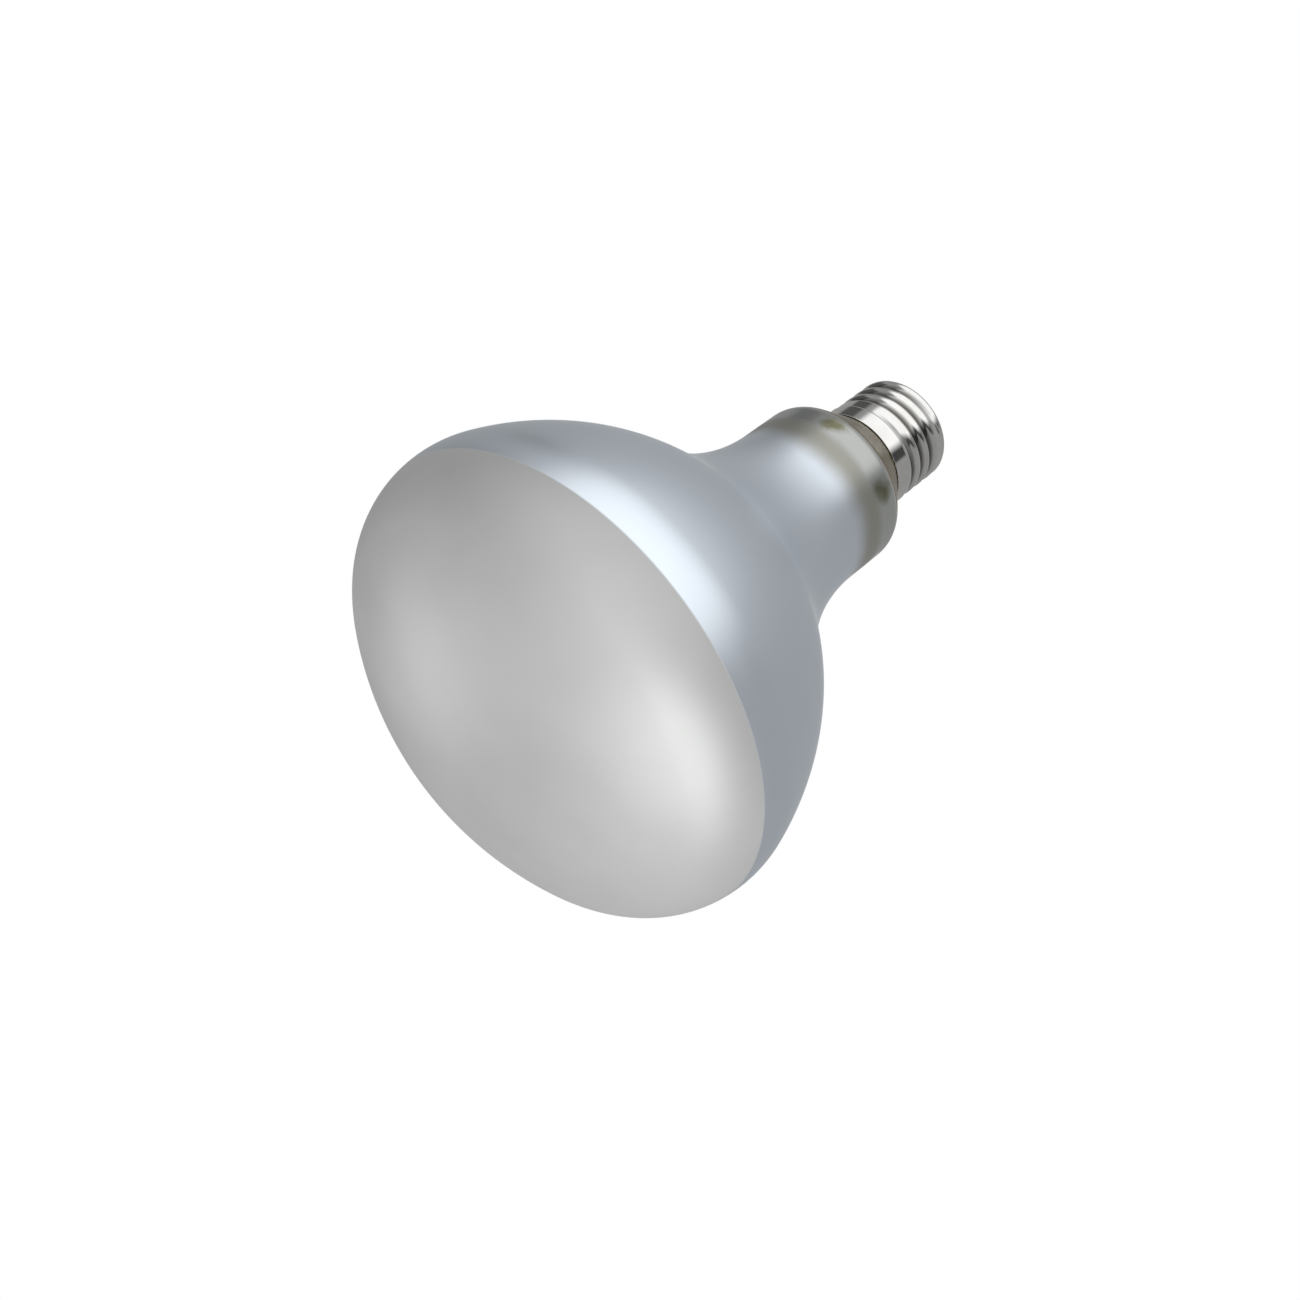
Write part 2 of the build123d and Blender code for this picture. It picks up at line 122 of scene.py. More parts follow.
class LampCapSizes(bpy.types.PropertyGroup):
    """The rolled screw cap's sizes."""

    skirt_radius: length("Skirt radius", "Outside radius of the plain skirt", SHELL_HIGH[0])
    skirt_height: length("Skirt height", "Height of the plain skirt", 4.4 * MM)
    radius: length("Cap radius", "Outside radius between the skirt and the turned-in end", 13.149 * MM)
    bottom: length("Skirt edge", "Height of the skirt's edge", SHELL_LOW[2])
    top: length("Lip", "Height of the lip", SHELL_HIGH[2])
    root_radius: length("Root radius", "Radius at the bottom of the thread's valleys", 12.1 * MM)
    crest_radius: length("Crest radius", "Radius of the thread's round crests", 13.16 * MM)
    pitch: length("Pitch", "Rise of the thread in one turn", 3.629 * MM)
    thread_start: length("Thread start", "Height of the first valley over the skirt's edge", 6.45 * MM)
    curl_radius: length("Curl radius", "Radius of the turned-in end", 1.6 * MM)
    lip_radius: length("Lip radius", "Radius of the hole that holds the insulator", 9.5 * MM)
    sheet: length("Sheet", "Thickness of the plated sheet", 0.3 * MM)


class LampFinishes(bpy.types.PropertyGroup):
    """Colours of the finishes, in linear light, and where they change on the bulb."""

    frost: colour("Frost", "The satin frosted face", (0.45, 0.455, 0.45))
    silver: colour("Silver", "The silvered body behind its glass", (0.76, 0.82, 0.89))
    silver_edge: length("Silver edge", "Height at which the frost meets the silver", 28.4 * MM)
    silver_end: length("Silver end", "Height at which the silver starts to thin out", 104.5 * MM)
    bare_start: length("Bare start", "Height at which the glass is bare", 111.5 * MM)
    haze_start: length("Haze start", "Height at which a second haze of silver starts", 113.0 * MM)
    # Ring also places the painted highlight line along that corner
    ring: length("Ring", "Height of the shoulder's tight corner", 120.9 * MM)
    bare: colour("Bare", "Bare glass with the grey inside behind it", (0.36, 0.36, 0.325))
    haze: colour("Haze", "The thin haze of silver on the shoulder", (0.45, 0.465, 0.45))
    window: colour("Window", "A gap in the haze with the dark inside behind it", (0.19, 0.185, 0.11))
    collar: colour("Collar", "Glass with the cement close behind it", (0.18, 0.15, 0.095))
    nickel: colour("Nickel", "The cap's plating", (0.78, 0.775, 0.76))
    # Valley is painted shade: the plating's colour darkened down in the thread's valleys
    valley: colour("Valley", "The plating down in the thread's valleys", (0.12, 0.118, 0.11))
    cement: colour("Cement", "The baked cement under the skirt", (0.18, 0.14, 0.085))
    floor: colour("Floor", "The pale floor", (0.86, 0.86, 0.86))


def trace(start, heading, runs):
    """Points and headings along tangent runs, each (size, turn, steps).

    With a turn of 0 the size is the straight run's length. Otherwise it is an arc's radius, and the
    heading turns steadily from its first to its last value, with the point on the circle round the
    centre that stands beside the start at right angles to the heading.
    """
    point = np.array(start, float)
    points = [point[None]]
    headings = [np.array([heading])]
    for size, turn, steps in runs:
        share = np.linspace(0, 1, steps + 1)[1:]
        if turn == 0:
            way = np.array([math.cos(heading), math.sin(heading)])
            stretch = point + size * share[:, None] * way
        else:
            side = math.copysign(1, turn)
            centre = point + side * size * np.array([-math.sin(heading), math.cos(heading)])
            now = heading + turn * share
            stretch = centre + side * size * np.stack([np.sin(now), -np.cos(now)], 1)
        headings.append(heading + turn * share)
        points.append(stretch)
        point = stretch[-1]
        heading += turn
    return np.concatenate(points), np.concatenate(headings)


def bulb_runs(s):
    """The bulb's tangent runs, worked out from its sizes as in the glass's own section."""
    face = math.asin((s.radius - s.rim_radius) / (s.face_radius - s.rim_radius))
    back_centre = s.radius - s.rim_radius - (s.back_radius - s.rim_radius) * math.cos(s.rim_turn)
    waist = math.acos((s.neck_radius + s.waist_radius - back_centre) / (s.back_radius + s.waist_radius))
    slope = s.shoulder_slope
    corner = 1 - math.cos(slope)
    taper_top = s.tail_radius + s.throat_radius * corner
    taper_base = s.neck_radius - s.shoulder_radius * corner
    runs = [
        (s.face_radius, face, 60),
        (s.rim_radius, math.pi / 2 - face + s.rim_turn, 48),
        (s.back_radius, waist - s.rim_turn, 32),
        (s.waist_radius, -waist, 32),
    ]
    neck_base = trace((0, 0), 0, runs)[0][-1, 1]
    throat_top = (
        s.neck_top
        + (s.shoulder_radius + s.throat_radius) * math.sin(slope)
        + (taper_base - taper_top) / math.tan(slope)
    )
    runs += [
        (s.neck_top - neck_base, 0, 12),
        (s.shoulder_radius, slope, 10),
        ((taper_base - taper_top) / math.sin(slope), 0, 8),
        (s.throat_radius, -slope, 8),
        (s.tail_top - throat_top, 0, 2),
    ]
    return runs


def grid_mesh(name, points, closed_u, closed_v, caps=False):
    """A mesh over a grid of points: point (i, j) joins (i+1, j), (i+1, j+1) and (i, j+1).

    closed_u joins the last row to the first, and closed_v the last column to the first. With caps the
    first and last rows have shrunk to a point each, which becomes one vertex in a fan of triangles.
    """
    rows, columns = points.shape[:2]
    flat = points.reshape(-1, 3)
    i, j = np.meshgrid(
        np.arange(rows if closed_u else rows - 1),
        np.arange(columns if closed_v else columns - 1),
        indexing="ij",
    )
    after_i = (i + 1) % rows
    after_j = (j + 1) % columns
    quads = np.stack(
        [i * columns + j, i * columns + after_j, after_i * columns + after_j, after_i * columns + j], -1
    ).reshape(-1, 4)
    mesh = bpy.data.meshes.new(name)
    mesh.from_pydata(flat.tolist(), [], quads.tolist())
    mesh.validate()
    if caps:
        merge_doubles(mesh)
    mesh.polygons.foreach_set("use_smooth", np.ones(len(mesh.polygons), bool))
    mesh.update()
    return mesh


def merge_doubles(mesh):
    """Joins the points that lie on each other, so that poles and seams are closed."""
    work = bmesh.new()
    work.from_mesh(mesh)
    bmesh.ops.remove_doubles(work, verts=work.verts, dist=1e-7)
    bmesh.ops.dissolve_degenerate(work, edges=work.edges, dist=1e-8)
    work.to_mesh(mesh)
    work.free()


def turned(profile, around):
    """The surface that a section (r, z) sweeps round the axis: x = r cos a, y = r sin a, z = z."""
    turn = np.linspace(0, 2 * math.pi, around, endpoint=False)
    r = profile[:, 0][:, None]
    z = np.broadcast_to(profile[:, 1][:, None], (len(profile), around))
    return np.stack([r * np.cos(turn), r * np.sin(turn), z], -1)


def place_piece(name, mesh, node, material):
    """Links a finished mesh as a piece that rides on the lamp and stands for a CAD node."""
    piece = bpy.data.objects.new(name, mesh)
    bpy.context.scene.collection.objects.link(piece)
    mesh.materials.append(material)
    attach(piece, "root")
    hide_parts(node)


# Gaps in the shoulder's haze: middles, the dark core and how far each reaches
WINDOWS = ((15.9 * MM, -12.7 * MM, 118.2 * MM), (19.5 * MM, 5.5 * MM, 117.4 * MM))
WINDOW_CORE = 0.5 * MM
WINDOW_REACH = 4.5 * MM

# How far the changes between the bulb's finishes take, along its axis
FROST_EDGE = 0.2 * MM
HAZE_FADE = 3 * MM

# How rough, how metallic and how clear the bulb's finishes are
FROST_ROUGHNESS = 0.50
SILVER_ROUGHNESS = 0.40
HAZE_POLISH = 0.14
FROST_METAL = 0.44
BARE_METAL = 0.85
COLLAR_METAL = 0.2
HAZE_CLEAR = 0.1
WINDOW_CLEAR = 0.4
COLLAR_CLEAR = 0.2

# How far noise moves the silver's ragged end and the outline of a gap, either way
RAGGED = 1.2 * MM

# Height over the thread's roots up to which the plating gets painted shade, darker down in the valleys
VALLEY_SHADE_DEPTH = 0.65 * MM

GLASS_IOR = 1.5


class Nodes:
    """A node tree, with short ways to add and join nodes."""

    def __init__(self, tree):
        self.tree = tree

    def node(self, kind, **settings):
        """A new node with its settings."""
        made = self.tree.nodes.new(kind)
        for key, value in settings.items():
            setattr(made, key, value)
        return made

    def join(self, source, target):
        """A link from a socket, or a plain value, to a socket."""
        if isinstance(source, (int, float)):
            target.default_value = source
        else:
            self.tree.links.new(source, target)

    def maths(self, first, second, operation="ADD"):
        """Two values or sockets put together, added unless told otherwise."""
        made = self.node("ShaderNodeMath", operation=operation)
        self.join(first, made.inputs[0])
        self.join(second, made.inputs[1])
        return made.outputs[0]

    def spread(self, source, low, high, out_low=0.0, out_high=1.0, smooth=False):
        """Source from low to high, spread evenly or eased from out_low to out_high and held there."""
        fit = self.node("ShaderNodeMapRange")
        fit.interpolation_type = "SMOOTHSTEP" if smooth else "LINEAR"
        fit.inputs["From Min"].default_value = low
        fit.inputs["From Max"].default_value = high
        fit.inputs["To Min"].default_value = out_low
        fit.inputs["To Max"].default_value = out_high
        self.join(source, fit.inputs["Value"])
        return fit.outputs["Result"]


class Finish(Nodes):
    """A material, with its patterns laid out on the lamp in metres."""

    def __init__(self, name):
        self.material = bpy.data.materials.new(name)
        self.material.use_nodes = True
        super().__init__(self.material.node_tree)
        self.shader = self.tree.nodes["Principled BSDF"]
        self.output = self.tree.nodes["Material Output"]

    def set(self, **values):
        """Plain values on the shader's own sockets, named with _ for a space."""
        for key, value in values.items():
            self.shader.inputs[key.replace("_", " ")].default_value = value

    def place(self):
        """Object coordinates, which are the lamp's own, in metres."""
        return self.node("ShaderNodeTexCoord").outputs["Object"]

    def height(self):
        """Height along the lamp's axis, in metres."""
        split = self.node("ShaderNodeSeparateXYZ")
        self.join(self.place(), split.inputs[0])
        return split.outputs["Z"]

    def distance(self, place):
        """Distance from a place on the lamp, in metres."""
        gap = self.node("ShaderNodeVectorMath", operation="DISTANCE")
        self.join(self.place(), gap.inputs[0])
        gap.inputs[1].default_value = place
        return gap.outputs["Value"]

    def noise(self, scale, detail=4.0, roughness=0.5):
        """Cloudy noise with that many features to the metre."""
        cloud = self.node("ShaderNodeTexNoise")
        cloud.inputs["Scale"].default_value = scale
        cloud.inputs["Detail"].default_value = detail
        cloud.inputs["Roughness"].default_value = roughness
        self.join(self.place(), cloud.inputs["Vector"])
        return cloud.outputs["Fac"]

    def blend(self, factor, first, second):
        """A colour between two, each a colour or a socket."""
        mix = self.node("ShaderNodeMix", data_type="RGBA")
        self.join(factor, mix.inputs["Factor"])
        for value, target in ((first, mix.inputs[6]), (second, mix.inputs[7])):
            if hasattr(value, "links"):
                self.join(value, target)
            else:
                target.default_value = (*value[:3], 1.0)
        return mix.outputs[2]

    def bump(self, height, strength, distance):
        """Fine relief from a value, with its depth in metres."""
        relief = self.node("ShaderNodeBump")
        relief.inputs["Strength"].default_value = strength
        relief.inputs["Distance"].default_value = distance
        self.join(height, relief.inputs["Height"])
        self.join(relief.outputs["Normal"], self.shader.inputs["Normal"])


def shaded(rgb, share):
    """A colour made lighter or darker by a share, no lighter than white."""
    return [min(1, part * share) for part in rgb]


def bulb_finish(looks):
    """Frosted face, silvered body and hazy bare glass on one bulb, told apart by height, with a painted
    highlight along the shoulder's corner.
    """
    finish = Finish("bulb_glass")
    height = finish.height()
    edge = finish.spread(height, looks.silver_edge - FROST_EDGE, looks.silver_edge + FROST_EDGE)
    ragged = finish.maths(height, finish.spread(finish.noise(55, 4), 0.2, 0.8, -RAGGED, RAGGED))
    thin = finish.spread(ragged, looks.silver_end, looks.bare_start, smooth=True)
    hazy = finish.spread(ragged, looks.haze_start, looks.haze_start + HAZE_FADE, smooth=True)
    brown = finish.spread(height, looks.ring - 0.3 * MM, looks.ring + 0.6 * MM)
    # A painted highlight: a thin line in the haze's colour along the shoulder's tight corner
    painted_ring_highlight = finish.maths(height, looks.ring, "SUBTRACT")
    painted_ring_highlight = finish.spread(finish.maths(painted_ring_highlight, 0, "ABSOLUTE"), 0.1 * MM, 0.5 * MM, 1, 0)
    window = finish.spread(finish.noise(70, 1), 0.60, 0.66, smooth=True)
    wobble = finish.spread(finish.noise(240, 2), 0.3, 0.7, -RAGGED, RAGGED)
    for place in WINDOWS:
        away = finish.maths(finish.distance(place), wobble)
        gap = finish.spread(away, WINDOW_CORE, WINDOW_REACH, 1, 0, smooth=True)
        window = finish.maths(window, gap, "MAXIMUM")
    window = finish.maths(window, hazy, "MULTIPLY")

    mottle = finish.spread(finish.noise(25, 3), 0.35, 0.65)
    frost = finish.blend(mottle, shaded(looks.frost, 0.95), shaded(looks.frost, 1.05))
    body = finish.blend(edge, frost, looks.silver)
    glass = finish.blend(hazy, looks.bare, looks.haze)
    glass = finish.blend(window, glass, looks.window)
    patchy = finish.spread(finish.noise(190, 4, 0.6), 0.3, 0.7)
    collar = finish.blend(patchy, shaded(looks.collar, 0.7), shaded(looks.collar, 1.35))
    # The painted highlight at the corner is laid over the collar and the glass
    glass = finish.blend(painted_ring_highlight, finish.blend(brown, glass, collar), looks.haze)
    finish.join(finish.blend(thin, body, glass), finish.shader.inputs["Base Color"])

    metal = finish.spread(edge, 0, 1, FROST_METAL, 1.0)
    metal = finish.maths(metal, finish.spread(thin, 0, 1, 1.0, BARE_METAL), "MULTIPLY")
    metal = finish.maths(metal, finish.spread(brown, 0, 1, 1.0, COLLAR_METAL), "MULTIPLY")
    finish.join(metal, finish.shader.inputs["Metallic"])
    rough = finish.spread(edge, 0, 1, FROST_ROUGHNESS, SILVER_ROUGHNESS)
    rough = finish.maths(rough, finish.spread(hazy, 0, 1, 0.0, HAZE_POLISH), "SUBTRACT")
    finish.join(rough, finish.shader.inputs["Roughness"])
    clear = finish.spread(window, 0, 1, HAZE_CLEAR, WINDOW_CLEAR)
    clear = finish.maths(clear, finish.spread(brown, 0, 1, 0, COLLAR_CLEAR), "MAXIMUM")
    clear = finish.maths(clear, thin, "MULTIPLY")
    finish.join(clear, finish.shader.inputs["Transmission Weight"])
    finish.set(IOR=GLASS_IOR)
    finish.bump(finish.noise(900, 2), 0.05, 0.05 * MM)
    return finish.material


def plate_finish(looks, sizes):
    """Bright nickel plate on the cap, with painted shade darkening it down in the thread's valleys, told
    by the radius.
    """
    finish = Finish("cap_nickel")
    flat = finish.node("ShaderNodeVectorMath", operation="MULTIPLY")
    finish.join(finish.place(), flat.inputs[0])
    flat.inputs[1].default_value = (1, 1, 0)
    out = finish.node("ShaderNodeVectorMath", operation="LENGTH")
    finish.join(flat.outputs[0], out.inputs[0])
    root = sizes.root_radius
    # Painted shade: the plating turns to the valley colour near the thread's roots
    valley = finish.spread(out.outputs["Value"], root, root + VALLEY_SHADE_DEPTH, 1, 0)
    cloud = finish.noise(260, 4)
    unshaded_plate = finish.blend(finish.spread(cloud, 0.35, 0.65), shaded(looks.nickel, 0.93), looks.nickel)
    finish.join(finish.blend(valley, unshaded_plate, looks.valley), finish.shader.inputs["Base Color"])
    finish.join(finish.spread(cloud, 0.3, 0.7, 0.06, 0.12), finish.shader.inputs["Roughness"])
    finish.set(Metallic=1.0)
    finish.bump(finish.noise(2500, 2), 0.1, 0.01 * MM)
    return finish.material


def metal_finish(name, rgb, roughness, grain=2500.0, depth=0.01):
    """Metal with a slight change of colour and a fine grain."""
    finish = Finish(name)
    cloud = finish.noise(180, 4)
    base = finish.blend(finish.spread(cloud, 0.35, 0.65), shaded(rgb, 0.9), rgb)
    finish.join(base, finish.shader.inputs["Base Color"])
    rough = finish.spread(cloud, 0.3, 0.7, roughness * 0.8, roughness * 1.2)
    finish.join(rough, finish.shader.inputs["Roughness"])
    finish.set(Metallic=1.0)
    finish.bump(finish.noise(grain, 2), 0.15, depth * MM)
    return finish.material


def stone_finish(name, rgb, roughness, grain=1200.0):
    """A matt mineral surface, such as baked cement or ceramic."""
    finish = Finish(name)
    cloud = finish.noise(grain * 0.4, 6, 0.6)
    base = finish.blend(finish.spread(cloud, 0.3, 0.7), shaded(rgb, 0.7), shaded(rgb, 1.2))
    finish.join(base, finish.shader.inputs["Base Color"])
    finish.set(Roughness=roughness)
    finish.bump(finish.noise(grain, 5), 0.5, 0.08 * MM)
    return finish.material


def clear_finish(name, rgb):
    """Clear glass with a faint waviness."""
    finish = Finish(name)
    finish.set(Base_Color=(*rgb, 1.0), Roughness=0.02, Transmission_Weight=1.0, IOR=GLASS_IOR)
    finish.bump(finish.noise(120, 2), 0.05, 0.1 * MM)
    return finish.material


def gloss_finish(name, rgb, roughness):
    """Solid pressed glass or the like with a soft gloss."""
    finish = Finish(name)
    cloud = finish.noise(300, 3)
    base = finish.blend(finish.spread(cloud, 0.3, 0.7), rgb, shaded(rgb, 1.4))
    finish.join(base, finish.shader.inputs["Base Color"])
    finish.set(Roughness=roughness, Coat_Weight=0.3)
    finish.bump(finish.noise(200, 2), 0.1, 0.1 * MM)
    return finish.material


def dress(names, material):
    """Gives CAD nodes their finish."""
    for name in names:
        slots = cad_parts[name].data.materials
        slots.clear()
        slots.append(material)


def wave_radius_at(sizes, across):
    """Radius of the thread's wave at a distance across it from a valley's middle.

    Crest and valley are arcs of one radius that touch halfway: near the valley the radius is the
    valley's centre less the root of (radius squared less distance squared), and near the crest it is
    the crest's centre plus the same root of the distance that is left to the crest.
    """
    depth = sizes.crest_radius - sizes.root_radius
    half = sizes.pitch / 2
    bend = (half**2 + depth**2) / (4 * depth)
    across = np.minimum(np.abs(across), half)
    valley = sizes.root_radius + bend - np.sqrt(np.maximum(bend**2 - across**2, 0))
    crest = sizes.crest_radius - bend + np.sqrt(np.maximum(bend**2 - (half - across) ** 2, 0))
    return np.where(across < half / 2, valley, crest)


def smooth_step(value):
    """0 below 0, 1 above 1 and 3t^2 - 2t^3 between."""
    value = np.clip(value, 0, 1)
    return value * value * (3 - 2 * value)


def rolled_wall(sizes, radius, height, turn, run_out=0.25, turns=3):
    """Radius of the rolled wall at a height and a turn round the axis.

    A valley's middle climbs by one pitch a turn. Its depth is the wave's, faded in over the first
    quarter turn and out over the last.
    """
    rise = (height - sizes.bottom - sizes.thread_start) / sizes.pitch - turn / (2 * math.pi)
    valley = np.round(rise)
    wound = valley + turn / (2 * math.pi)
    fade = smooth_step(wound / run_out + 0.5) * smooth_step((turns - wound) / run_out + 0.5)
    cut = sizes.radius - np.minimum(wave_radius_at(sizes, (rise - valley) * sizes.pitch), sizes.radius)
    return radius - cut * fade


def cap_side(sizes, inset):
    """Half of the cap's section, inset by the sheet or by nothing.

    It climbs the skirt, steps in on two arcs that turn 45 degrees in and back, climbs the threaded
    wall, and turns in on a quarter circle to the lip.
    """
    lean = math.radians(45)
    step = sizes.skirt_radius - sizes.radius
    bend = step / (2 * (1 - math.cos(lean)))
    rise = 2 * bend * math.sin(lean)
    skirt = sizes.skirt_height + step / 2 - rise / 2
    wall = sizes.top - sizes.curl_radius - sizes.bottom - skirt - rise
    runs = [
        (skirt, 0, 24),
        (bend - inset, lean, 4),
        (bend + inset, -lean, 4),
        (wall, 0, 110),
        (sizes.curl_radius - inset, math.pi / 2, 10),
        (sizes.radius - sizes.curl_radius - sizes.lip_radius, 0, 3),
    ]
    return trace((sizes.skirt_radius - inset, sizes.bottom), math.pi / 2, runs)[0]


class LAMP_OT_bulb(bpy.types.Operator):
    """Draws the blown bulb as one closed glass wall"""

    bl_idname = "lamp.bulb"
    bl_label = "Bulb"

    def execute(self, context):
        sizes = context.scene.lamp_bulb
        points, headings = trace((0, 0), 0, bulb_runs(sizes))
        inward = np.stack([-np.sin(headings), np.cos(headings)], 1)
        inside = (points + sizes.wall * inward)[::-1]
        inside[-1, 0] = 0
        profile = np.concatenate([points, inside])
        mesh = grid_mesh("bulb_glass", turned(profile, BULB_AROUND), False, True, caps=True)
        looks = context.scene.lamp_finishes
        place_piece("bulb_glass", mesh, "bulb_envelope", bulb_finish(looks))
        return {"FINISHED"}


class LAMP_OT_cap(bpy.types.Operator):
    """Draws the rolled screw cap and finishes its insulator, contact, solder and cement"""

    bl_idname = "lamp.cap"
    bl_label = "Screw Cap"

    def execute(self, context):
        sizes = context.scene.lamp_cap
        looks = context.scene.lamp_finishes
        profile = np.concatenate([cap_side(sizes, 0), cap_side(sizes, sizes.sheet)[::-1]])
        turn = np.linspace(0, 2 * math.pi, CAP_AROUND, endpoint=False)[None, :]
        height = np.broadcast_to(profile[:, 1][:, None], (len(profile), CAP_AROUND))
        radius = rolled_wall(sizes, profile[:, 0][:, None], height, turn)
        points = np.stack([radius * np.cos(turn), radius * np.sin(turn), height], -1)
        mesh = grid_mesh("screw_shell_plate", points, True, True)
        nickel = plate_finish(looks, sizes)
        place_piece("screw_shell_plate", mesh, "screw_shell", nickel)
        dress(["basing_cement"], stone_finish("cement", looks.cement, 0.85))
        dress(["cap_insulator"], gloss_finish("cap_glass", (0.012, 0.012, 0.016), 0.12))
        dress(["centre_contact"], metal_finish("contact_metal", (0.60, 0.53, 0.38), 0.3))
        dress(["centre_solder", "side_solder"], metal_finish("solder", (0.46, 0.46, 0.45), 0.45, 600, 0.1))
        return {"FINISHED"}


class LAMP_OT_mount(bpy.types.Operator):
    """Finishes the stem, the arc tube and the wires inside the bulb"""

    bl_idname = "lamp.mount"
    bl_label = "Stem and Arc Tube"

    def execute(self, context):
        dress(["stem", "exhaust_tube"], clear_finish("stem_glass", (0.93, 0.95, 0.93)))
        dress(["arc_tube"], clear_finish("quartz", (0.97, 0.97, 0.98)))
        leads = ["contact_lead", "shell_lead", "resistor_lead_top", "resistor_lead_frame"]
        leads += ["terminal_cap_end", "terminal_face_end", "terminal_starting"]
        dress(leads, metal_finish("lead_wire", (0.5, 0.48, 0.44), 0.3))
        dress(["support_frame"], metal_finish("frame_wire", (0.42, 0.42, 0.41), 0.35))
        strips = ["feed_strip", "strap_cap_end", "strap_face_end"]
        dress(strips, metal_finish("nickel_strip", (0.55, 0.53, 0.49), 0.28))
        rods = ["electrode_cap_end", "electrode_face_end", "starting_electrode"]
        dress(rods, metal_finish("tungsten", (0.2, 0.2, 0.21), 0.45))
        foils = ["foil_cap_end", "foil_face_end", "foil_starting"]
        dress(foils, metal_finish("foil", (0.35, 0.35, 0.37), 0.35))
        dress(["starting_resistor"], stone_finish("ceramic", (0.72, 0.66, 0.54), 0.6))
        dress(["mercury_drop"], metal_finish("mercury", (0.75, 0.75, 0.77), 0.03))
        return {"FINISHED"}


FLOOR_RADIUS = 1.6

# The camera: its place, the ways to its right and its top, and its lens and sensor in millimetres
CAMERA_PLACE = (343.2 * MM, -54.4 * MM, -180.9 * MM)
CAMERA_RIGHT = (0.5416, 0.5231, 0.6581)
CAMERA_UP = (0.1982, -0.8402, 0.5047)
CAMERA_LENS = 54.0
CAMERA_SENSOR = 36.0

# Levels of the room and of the light
WHITE = 1.0
ROOM_GREY = 0.31
ROOM_CEILING = ROOM_GREY * 1.15
ROOM_DARK = 0.09
ROOM_BLACK = 0.05
PANEL_DIM = 0.42
PANEL_BRIGHT = 1.25
PLAIN_LIGHT = 0.85

# Upright strips of the room in degrees: azimuth of the middle, half the width, softness of the edge
PANEL_STRIP = (-32, 44, 8)
LEFT_BAND_STRIP = (-112, 18, 6)
RIGHT_BAND_STRIP = (31, 11, 4)
LEFT_FLAG_STRIP = (-122, 14, 4)
RIGHT_FLAG_STRIP = (28, 8, 4)

# Where the ceiling lightens, the band starts and ends, the flags end and the panel dims, each as the
# height over the lamp's face that a ray of length 1 climbs to
CEILING_FADE = (0.2, 1.0)
BAND_START = (0.58, 0.62)
BAND_END = (0.70, 0.74)
FLAG_END = (0.2, 0.4)
PANEL_FADE = (0.66, 1.0)

# The backdrop's middle, as azimuth and lift in degrees, and the cosines of the angles at its edge
BACKDROP = (170, 34)
BACKDROP_EDGE = (0.95, 0.98)

# Soft lamps for the frosted face, which light the bulb alone: name, azimuth and lift in degrees,
# size in metres and watts
FILL_REACH = 0.7
FILL_AIM = (0, 0, 0.02)
FACE_FILLS = (
    ("fill_right", 58, -43, 0.65, 4.1),
    ("fill_left", -160, -39, 0.35, 0.6),
)


def direction(azimuth, lift):
    """The unit vector at an azimuth round the lamp's axis and a lift over its face, in degrees."""
    turn = math.radians(azimuth)
    climb = math.radians(lift)
    return Vector((math.cos(climb) * math.cos(turn), math.cos(climb) * math.sin(turn), math.sin(climb)))


class Studio(Nodes):
    """The room round the lamp, drawn by direction: azimuth round its axis and lift over its face."""

    def __init__(self):
        world = bpy.data.worlds.new("studio")
        bpy.context.scene.world = world
        world.use_nodes = True
        super().__init__(world.node_tree)
        self.way = self.node("ShaderNodeTexCoord").outputs["Generated"]

    def ease(self, value, low, high, out_low=0.0, out_high=1.0):
        """A value from low to high, eased from out_low to out_high and held there."""
        return self.spread(value, low, high, out_low, out_high, smooth=True)

    def towards(self, azimuth, lift):
        """How nearly a ray runs in a direction: 1 along it, 0 across it and -1 against it."""
        made = self.node("ShaderNodeVectorMath", operation="DOT_PRODUCT")
        self.join(self.way, made.inputs[0])
        made.inputs[1].default_value = direction(azimuth, lift)
        return made.outputs["Value"]

    def strip(self, azimuth, half, soft):
        """1 inside an upright strip of the room and 0 outside it, with a soft edge."""
        split = self.node("ShaderNodeSeparateXYZ")
        self.join(self.way, split.inputs[0])
        turn = self.maths(split.outputs["Y"], split.outputs["X"], "ARCTAN2")
        off = self.maths(turn, math.radians(azimuth), "SUBTRACT")
        wrapped = self.node("ShaderNodeMath", operation="WRAP")
        self.join(off, wrapped.inputs[0])
        wrapped.inputs[1].default_value = math.pi
        wrapped.inputs[2].default_value = -math.pi
        away = self.maths(wrapped.outputs[0], 0, "ABSOLUTE")
        return self.ease(away, math.radians(half - soft), math.radians(half + soft), 1, 0)

    def swap(self, base, level, share):
        """Base, moved to another level by a share."""
        gap = self.maths(level, base, "SUBTRACT")
        return self.maths(base, self.maths(gap, share, "MULTIPLY"))


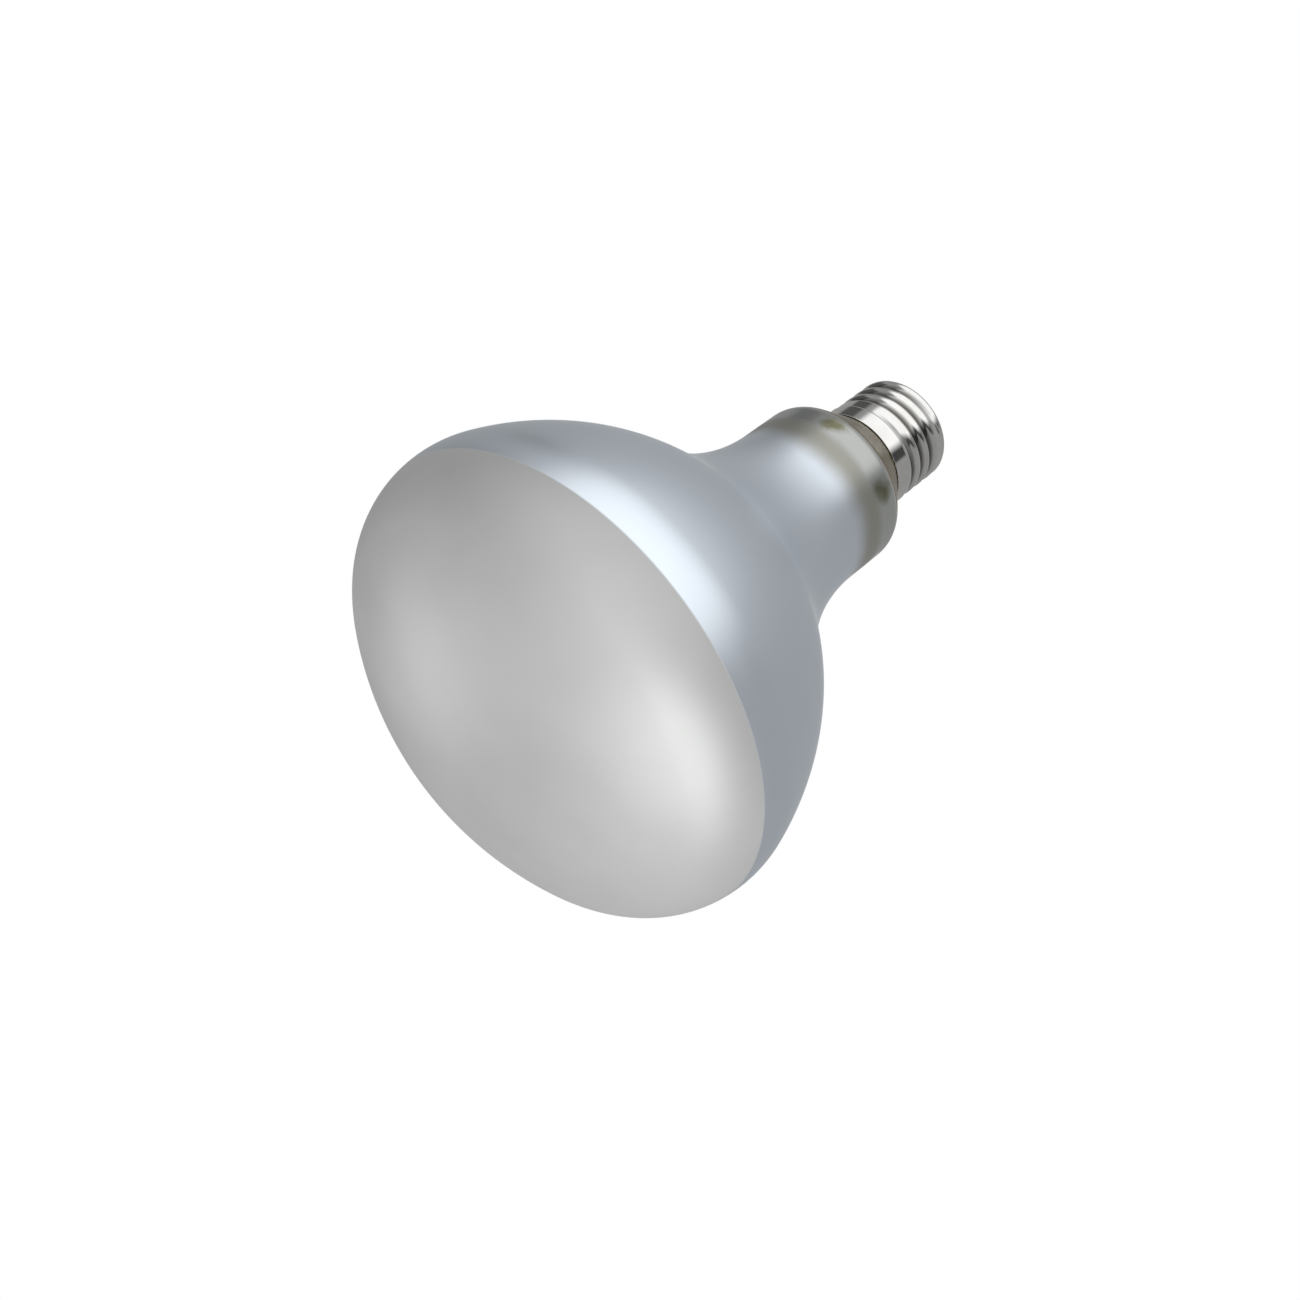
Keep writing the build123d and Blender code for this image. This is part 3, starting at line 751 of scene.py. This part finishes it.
def studio_world():
    """White behind the lamp and through its glass, plain light on it, and a room in its metal.

    The room has a tall white panel beside the camera, grey walls, the white backdrop, and black
    flags on both sides of the panel, each low down and in a narrow band that the cap mirrors.
    """
    studio = Studio()
    up = studio.towards(0, 90)
    room = studio.ease(up, *CEILING_FADE, ROOM_GREY, ROOM_CEILING)
    band = studio.maths(studio.ease(up, *BAND_START), studio.ease(up, *BAND_END, 1, 0), "MULTIPLY")
    low = studio.ease(up, *FLAG_END, 1, 0)
    for share, strip, level in (
        (band, LEFT_BAND_STRIP, ROOM_DARK),
        (band, RIGHT_BAND_STRIP, ROOM_BLACK),
        (low, LEFT_FLAG_STRIP, ROOM_DARK),
        (low, RIGHT_FLAG_STRIP, ROOM_BLACK),
    ):
        room = studio.swap(room, level, studio.maths(share, studio.strip(*strip), "MULTIPLY"))
    panel = studio.ease(up, *PANEL_FADE, PANEL_BRIGHT, PANEL_DIM)
    room = studio.swap(room, panel, studio.strip(*PANEL_STRIP))
    room = studio.swap(room, WHITE, studio.ease(studio.towards(*BACKDROP), *BACKDROP_EDGE))
    path = studio.node("ShaderNodeLightPath")
    seen = studio.maths(path.outputs["Is Camera Ray"], path.outputs["Is Transmission Ray"], "MAXIMUM")
    level = studio.swap(PLAIN_LIGHT, room, path.outputs["Is Glossy Ray"])
    level = studio.swap(level, WHITE, seen)
    background = studio.tree.nodes["Background"]
    background.inputs["Color"].default_value = (1, 1, 1, 1)
    studio.join(level, background.inputs["Strength"])


def soft_lamp(name, place, aim, size, power, target):
    """A square soft lamp that shines from a place to a point and lights one object alone."""
    light = bpy.data.lights.new(name, "AREA")
    light.shape = "SQUARE"
    light.size = size
    light.energy = power
    lamp = bpy.data.objects.new(name, light)
    lamp.location = place
    lamp.rotation_euler = (Vector(aim) - Vector(place)).to_track_quat("-Z", "Y").to_euler()
    bpy.context.scene.collection.objects.link(lamp)
    lit = bpy.data.collections.new(name)
    lit.objects.link(target)
    lamp.light_linking.receiver_collection = lit


def floor_finish(rgb):
    """A pale floor that only the camera sees, from above, so no other light or mirror meets it."""
    finish = Finish("floor")
    finish.set(Base_Color=(*rgb, 1.0), Roughness=0.9)
    clear = finish.node("ShaderNodeBsdfTransparent")
    below = finish.node("ShaderNodeNewGeometry").outputs["Backfacing"]
    camera_ray = finish.node("ShaderNodeLightPath").outputs["Is Camera Ray"]
    hidden = finish.maths(below, finish.maths(1.0, camera_ray, "SUBTRACT"), "MAXIMUM")
    mix = finish.node("ShaderNodeMixShader")
    finish.join(hidden, mix.inputs[0])
    finish.join(finish.shader.outputs[0], mix.inputs[1])
    finish.join(clear.outputs[0], mix.inputs[2])
    finish.join(mix.outputs[0], finish.output.inputs["Surface"])
    return finish.material


class LAMP_OT_stage(bpy.types.Operator):
    """Sets the floor, the studio light and the camera"""

    bl_idname = "lamp.stage"
    bl_label = "Stage"

    def execute(self, context):
        looks = context.scene.lamp_finishes
        studio_world()
        rings = np.array([[FLOOR_RADIUS, 0.0], [FLOOR_RADIUS / 4, 0.0], [0.0, 0.0]])
        mesh = grid_mesh("floor", turned(rings, FLOOR_AROUND), False, True, caps=True)
        floor = bpy.data.objects.new("floor", mesh)
        mesh.materials.append(floor_finish(looks.floor))
        context.scene.collection.objects.link(floor)
        bulb = bpy.data.objects["bulb_glass"]
        for name, azimuth, lift, size, power in FACE_FILLS:
            soft_lamp(name, direction(azimuth, lift) * FILL_REACH, FILL_AIM, size, power, bulb)
        camera = bpy.data.objects.new("camera", bpy.data.cameras.new("camera"))
        camera.data.lens = CAMERA_LENS
        camera.data.sensor_width = CAMERA_SENSOR
        right = Vector(CAMERA_RIGHT).normalized()
        up = Vector(CAMERA_UP)
        up = (up - right * up.dot(right)).normalized()
        turn = Matrix((right, up, right.cross(up))).transposed()
        camera.matrix_world = Matrix.Translation(CAMERA_PLACE) @ turn.to_4x4()
        context.scene.collection.objects.link(camera)
        context.scene.camera = camera
        context.scene.view_settings.view_transform = "Standard"
        return {"FINISHED"}


class LAMP_PT_panel(bpy.types.Panel):
    """Lists the lamp's operators in the sidebar"""

    bl_label = "Lamp"
    bl_idname = "LAMP_PT_panel"
    bl_space_type = "VIEW_3D"
    bl_region_type = "UI"
    bl_category = "Lamp"

    def draw(self, context):
        for step in STEPS:
            self.layout.operator(step.bl_idname)


STEPS = (LAMP_OT_bulb, LAMP_OT_cap, LAMP_OT_mount, LAMP_OT_stage)
GROUPS = {"lamp_bulb": LampBulbSizes, "lamp_cap": LampCapSizes, "lamp_finishes": LampFinishes}
CLASSES = (*GROUPS.values(), *STEPS, LAMP_PT_panel)


def register():
    """Adds the classes, and each group of sizes to the scene."""
    for made in CLASSES:
        bpy.utils.register_class(made)
    for name, group in GROUPS.items():
        setattr(bpy.types.Scene, name, bpy.props.PointerProperty(type=group))


def unregister():
    """Takes away what register added."""
    for name in GROUPS:
        delattr(bpy.types.Scene, name)
    for made in reversed(CLASSES):
        bpy.utils.unregister_class(made)


def main():
    """Draws the lamp and its stage."""
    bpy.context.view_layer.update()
    register()
    bpy.ops.lamp.bulb()
    bpy.ops.lamp.cap()
    bpy.ops.lamp.mount()
    bpy.ops.lamp.stage()


if __name__ == "__main__":
    main()
